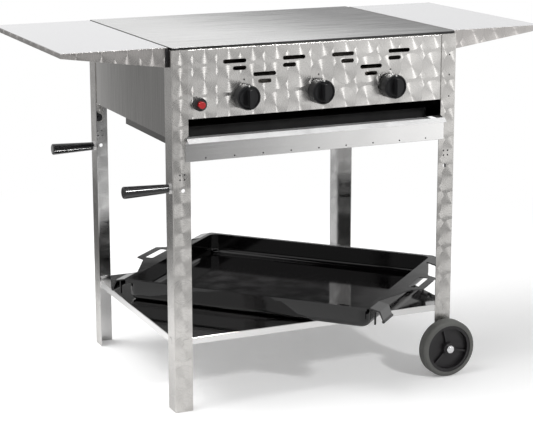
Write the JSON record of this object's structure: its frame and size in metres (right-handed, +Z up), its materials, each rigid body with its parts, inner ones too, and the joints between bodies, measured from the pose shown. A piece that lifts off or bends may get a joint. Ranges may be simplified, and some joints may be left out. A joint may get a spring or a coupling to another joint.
{
  "type": "gas grill with griddle",
  "caption": "Gas grill on a wheeled stand: steel burner box with flat griddle plate, control knobs, hang-on side shelves, drip tray, lower shelf and a loose enamelled pan.",
  "frame": {"origin": "middle of the footprint on the floor, below the middle of the body", "axes": "+Z up, the control panel faces -Y, the wheels are on the +X side"},
  "size_m": [1.294, 0.9194, 0.9],
  "materials": {
    "swirl_steel": "engine-turned",
    "panel_steel": "brushed",
    "polished_steel": "polished",
    "plate_steel": "brushed",
    "shelf_steel": "satin",
    "inner_steel": "satin",
    "black_enamel": "gloss",
    "black_gloss": "gloss",
    "black_matt": "matt",
    "red_plastic": "gloss",
    "brass": "satin",
    "tyre_rubber": "matt",
    "chrome": "polished"
  },
  "bodies": {
    "frame": {"leg_front_left": "swirl_steel", "post_front_left": "swirl_steel", "leg_front_right": "swirl_steel", "post_front_right": "swirl_steel", "leg_rear_left": "swirl_steel", "post_rear_left": "swirl_steel", "leg_rear_right": "swirl_steel", "post_rear_right": "swirl_steel", "body_fixings": "inner_steel", "control_panel": "swirl_steel", "side_panel_left": "panel_steel", "tray_rail_left": "panel_steel", "side_panel_right": "panel_steel", "tray_rail_right": "panel_steel", "rear_panel": "panel_steel", "front_beam": "panel_steel", "lower_shelf": "polished_steel", "knob_bezels": "black_gloss", "gas_valve_left": "brass", "burner_left": "inner_steel", "gas_valve_middle": "brass", "burner_middle": "inner_steel", "gas_valve_right": "brass", "burner_right": "inner_steel", "gas_pipe": "inner_steel", "gas_inlet": "brass", "burner_rests": "inner_steel", "igniter_body": "black_gloss", "igniter_nut": "chrome", "ignition_electrode": "inner_steel", "ignition_lead": "black_matt", "handle_grip_front": "black_gloss", "handle_grip_rear": "black_gloss", "handle_collars": "black_matt", "handle_studs": "chrome", "wheel_axles": "chrome"},
    "griddle": {"griddle_plate": "plate_steel"},
    "tray": {"drip_tray": "black_enamel", "tray_pull": "polished_steel"},
    "side_shelf_left": {"side_shelf_left": "shelf_steel", "shelf_bumpers": "black_matt"},
    "side_shelf_right": {"side_shelf_right": "shelf_steel"},
    "pan": {"pan_basin": "black_enamel", "pan_rim": "black_enamel", "pan_handles": "black_enamel"},
    "push_left": {"valve_collar_left": "brass"},
    "knob_left": {"knob_left": "black_gloss", "valve_stem_left": "brass"},
    "push_middle": {"valve_collar_middle": "brass"},
    "knob_middle": {"knob_middle": "black_gloss", "valve_stem_middle": "brass"},
    "push_right": {"valve_collar_right": "brass"},
    "knob_right": {"knob_right": "black_gloss", "valve_stem_right": "brass"},
    "button": {"igniter_button": "red_plastic"},
    "wheel_front": {"tyre_front": "tyre_rubber", "wheel_disc_front": "black_matt"},
    "wheel_rear": {"tyre_rear": "tyre_rubber", "wheel_disc_rear": "black_matt"}
  },
  "joints": [
    {"name": "griddle_lift", "type": "slide", "parent": "frame", "child": "griddle", "axis": [0, 0, 1], "range_m": [0, 0.3]},
    {"name": "tray_slide", "type": "slide", "parent": "frame", "child": "tray", "axis": [0, -1, 0], "range_m": [0, 0.42]},
    {"name": "shelf_left_lift", "type": "slide", "parent": "frame", "child": "side_shelf_left", "axis": [0, 0, 1], "range_m": [0, 0.012]},
    {"name": "shelf_right_lift", "type": "slide", "parent": "frame", "child": "side_shelf_right", "axis": [0, 0, 1], "range_m": [0, 0.012]},
    {"name": "pan_lift", "type": "slide", "parent": "frame", "child": "pan", "axis": [0, 0, 1], "range_m": [0, 0.3]},
    {"name": "push_left", "type": "slide", "parent": "frame", "child": "push_left", "axis": [0, 1, 0], "range_m": [0, 0.004], "stiffness_N_per_m": 1500, "springref_m": -0.002},
    {"name": "turn_left", "type": "hinge", "parent": "push_left", "child": "knob_left", "pos_m": [-0.198, -0.33, 0.774], "axis": [0, -1, 0], "range_deg": [0, 180]},
    {"name": "push_middle", "type": "slide", "parent": "frame", "child": "push_middle", "axis": [0, 1, 0], "range_m": [0, 0.004], "stiffness_N_per_m": 1500, "springref_m": -0.002},
    {"name": "turn_middle", "type": "hinge", "parent": "push_middle", "child": "knob_middle", "pos_m": [0, -0.33, 0.774], "axis": [0, -1, 0], "range_deg": [0, 180]},
    {"name": "push_right", "type": "slide", "parent": "frame", "child": "push_right", "axis": [0, 1, 0], "range_m": [0, 0.004], "stiffness_N_per_m": 1500, "springref_m": -0.002},
    {"name": "turn_right", "type": "hinge", "parent": "push_right", "child": "knob_right", "pos_m": [0.198, -0.33, 0.774], "axis": [0, -1, 0], "range_deg": [0, 180]},
    {"name": "igniter_push", "type": "slide", "parent": "frame", "child": "button", "axis": [0, 1, 0], "range_m": [0, 0.005], "stiffness_N_per_m": 2000, "springref_m": -0.003},
    {"name": "wheel_front_spin", "type": "hinge", "parent": "frame", "child": "wheel_front", "pos_m": [0.362, -0.333, 0.075], "axis": [0, 1, 0], "continuous": true},
    {"name": "wheel_rear_spin", "type": "hinge", "parent": "frame", "child": "wheel_rear", "pos_m": [0.362, 0.333, 0.075], "axis": [0, 1, 0], "continuous": true}
  ]
}
